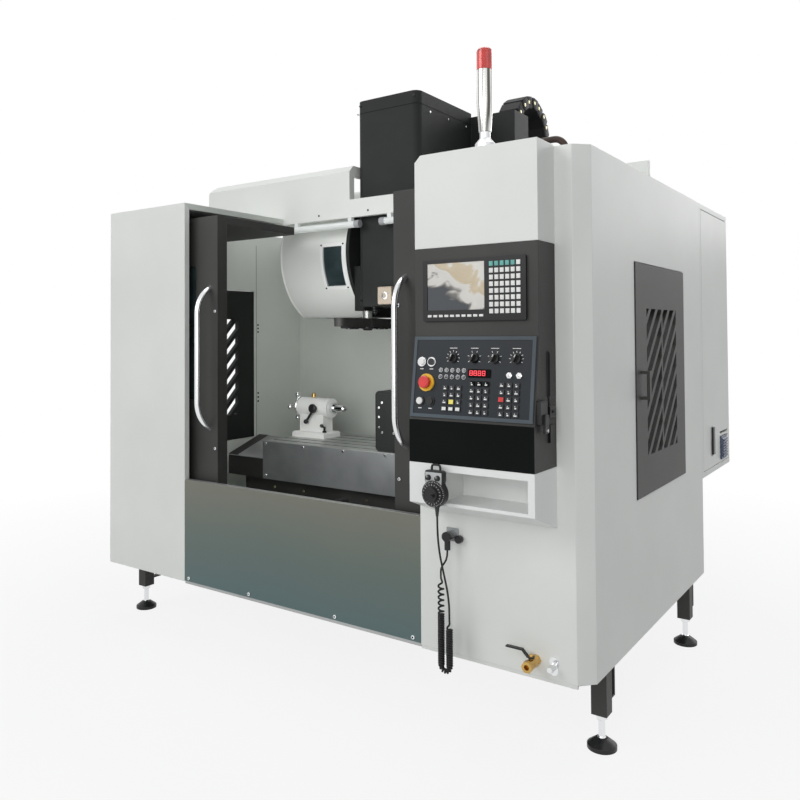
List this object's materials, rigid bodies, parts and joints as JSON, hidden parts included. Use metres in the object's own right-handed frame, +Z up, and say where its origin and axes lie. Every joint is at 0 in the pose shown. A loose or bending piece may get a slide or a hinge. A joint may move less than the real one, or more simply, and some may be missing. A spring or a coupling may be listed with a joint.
{
  "type": "vertical milling machine",
  "caption": "Enclosed vertical milling machine with sliding front doors, slotted side doors, operator console, tool changer, and a tailstock and rotary table on its T-slot table.",
  "frame": {"origin": "on the floor under the middle of the machine's outline", "axes": "+X along the table to the operator's right, +Y to the back, +Z up"},
  "size_m": [2.676, 2.414, 2.8],
  "materials": {
    "cast_iron": "painted casting",
    "machined_steel": "ground steel",
    "white_paint": "fine textured enamel",
    "black_paint": "fine textured powder coat",
    "stainless": "brushed stainless sheet",
    "chrome": "polished",
    "brass": "turned brass",
    "black_plastic": "moulded",
    "grey_plastic": "moulded",
    "red_plastic": "moulded",
    "red_lens": "clear red",
    "screen_glass": "dark display glass",
    "door_glass": "clear pane",
    "lamp_tube": "frosted tube",
    "cord": "rubber sheath"
  },
  "bodies": {
    "machine": {"base_casting": "cast_iron", "column_casting": "cast_iron", "guide_rails": "machined_steel", "levelling_feet": "chrome", "foot_brackets": "black_paint", "left_cabinet": "white_paint", "right_cabinet": "white_paint", "back_wall": "white_paint", "cross_panel": "white_paint", "chip_pan": "white_paint", "front_panel": "stainless", "work_lamps": "lamp_tube", "header_box": "white_paint", "console_housing": "black_paint", "display_unit": "grey_plastic", "display_screen": "screen_glass", "operator_panel": "grey_plastic", "storage_shelf": "white_paint", "pendant_body": "grey_plastic", "pendant_socket": "chrome", "pendant_coil": "cord", "pendant_leads": "cord", "tower_lamp_post": "chrome", "tower_lamp_lens": "red_lens", "coolant_fittings": "brass", "electrical_cabinet": "white_paint", "atc_cover": "white_paint", "atc_window": "door_glass", "atc_frame": "cast_iron", "drag_chain": "black_plastic", "roof_conduit": "black_plastic"},
    "left_door": {"left_door": "black_paint", "left_door_handle": "chrome", "left_door_window": "door_glass"},
    "right_door": {"right_door": "black_paint", "right_door_handle": "chrome", "right_door_window": "door_glass"},
    "left_side_door": {"left_side_door": "black_paint"},
    "right_side_door": {"right_side_door": "black_paint"},
    "cabinet_door": {"cabinet_door": "white_paint"},
    "cabinet_latch": {"cabinet_latch": "black_plastic"},
    "saddle": {"saddle": "cast_iron"},
    "table": {"table": "machined_steel", "table_guards": "black_paint", "tailstock_body": "white_paint", "rotary_housing": "black_paint"},
    "tailstock_quill": {"tailstock_quill": "machined_steel"},
    "tailstock_wheel": {"tailstock_wheel": "chrome"},
    "tailstock_lever": {"tailstock_lever": "black_plastic"},
    "faceplate": {"rotary_faceplate": "machined_steel"},
    "head": {"head_casting": "cast_iron", "head_cover": "black_paint", "spindle_motor": "black_paint"},
    "spindle": {"spindle": "machined_steel"},
    "tool_drum": {"tool_drum": "machined_steel"},
    "arm_shaft": {"atc_arm_shaft": "machined_steel"},
    "arm": {"atc_arm": "black_paint"},
    "estop": {"estop_button": "red_plastic"},
    "pendant_wheel": {"pendant_wheel": "black_plastic"},
    "drain_lever": {"drain_lever": "black_plastic"}
  },
  "joints": [
    {"name": "left_door_slide", "type": "slide", "parent": "machine", "child": "left_door", "axis": [1, 0, 0], "range_m": [0, 0.496]},
    {"name": "right_door_slide", "type": "slide", "parent": "machine", "child": "right_door", "axis": [-1, 0, 0], "range_m": [0, 0.513]},
    {"name": "left_side_door_swing", "type": "hinge", "parent": "machine", "child": "left_side_door", "pos_m": [-1.304, 0.115, 1.28], "axis": [0, 0, -1], "range_deg": [0, 110]},
    {"name": "right_side_door_swing", "type": "hinge", "parent": "machine", "child": "right_side_door", "pos_m": [1.304, 0.265, 1.28], "axis": [0, 0, 1], "range_deg": [0, 110]},
    {"name": "cabinet_door_swing", "type": "hinge", "parent": "machine", "child": "cabinet_door", "pos_m": [1.3, 1.177, 1.4], "axis": [0, 0, 1], "range_deg": [0, 120]},
    {"name": "cabinet_latch_lift", "type": "hinge", "parent": "cabinet_door", "child": "cabinet_latch", "pos_m": [1.3053, 0.81, 0.975], "axis": [0, -1, 0], "range_deg": [0, 60]},
    {"name": "saddle_slide", "type": "slide", "parent": "machine", "child": "saddle", "axis": [0, 1, 0], "range_m": [-0.25, 0.25]},
    {"name": "table_slide", "type": "slide", "parent": "saddle", "child": "table", "axis": [1, 0, 0], "range_m": [-0.088, 0.712]},
    {"name": "tailstock_wheel_turn", "type": "hinge", "parent": "table", "child": "tailstock_wheel", "pos_m": [-0.864, 0.065, 1.04], "axis": [1, 0, 0], "range_deg": [0, 3600]},
    {"name": "tailstock_quill_slide", "type": "slide", "parent": "table", "child": "tailstock_quill", "axis": [1, 0, 0], "range_m": [0, 0.0501]},
    {"name": "tailstock_lever_turn", "type": "hinge", "parent": "table", "child": "tailstock_lever", "pos_m": [-0.6765, -0.005, 1.04], "axis": [0, 1, 0], "range_deg": [0, 100]},
    {"name": "faceplate_turn", "type": "hinge", "parent": "table", "child": "faceplate", "pos_m": [-0.019, 0.065, 1.04], "axis": [1, 0, 0], "continuous": true},
    {"name": "head_slide", "type": "slide", "parent": "machine", "child": "head", "axis": [0, 0, 1], "range_m": [-0.385, 0], "deforming": ["drag_chain"]},
    {"name": "spindle_turn", "type": "hinge", "parent": "head", "child": "spindle", "pos_m": [-0.0325, 0.015, 1.6], "axis": [0, 0, 1], "continuous": true},
    {"name": "drum_turn", "type": "hinge", "parent": "machine", "child": "tool_drum", "pos_m": [-0.4, 0.22, 1.905], "axis": [1, 0, 0], "continuous": true},
    {"name": "arm_stroke", "type": "slide", "parent": "machine", "child": "arm_shaft", "axis": [0, 0, 1], "range_m": [-0.115, 0]},
    {"name": "arm_turn", "type": "hinge", "parent": "arm_shaft", "child": "arm", "pos_m": [-0.2625, -0.045, 1.53], "axis": [0, 0, 1], "range_deg": [0, 180]},
    {"name": "estop_press", "type": "slide", "parent": "machine", "child": "estop", "axis": [0, 0.9907, -0.1357], "range_m": [0, 0.005], "stiffness_N_per_m": 600},
    {"name": "pendant_wheel_turn", "type": "hinge", "parent": "machine", "child": "pendant_wheel", "pos_m": [0.834, -1.165, 0.918], "axis": [0, 1, 0], "continuous": true},
    {"name": "drain_lever_turn", "type": "hinge", "parent": "machine", "child": "drain_lever", "pos_m": [1.103, -0.975, 0.37], "axis": [0, 0, 1], "range_deg": [0, 90]}
  ],
  "couplings": [
    {"joint": "tailstock_quill_slide", "follows": "tailstock_wheel_turn", "m_per_rad": 0.00079577}
  ]
}
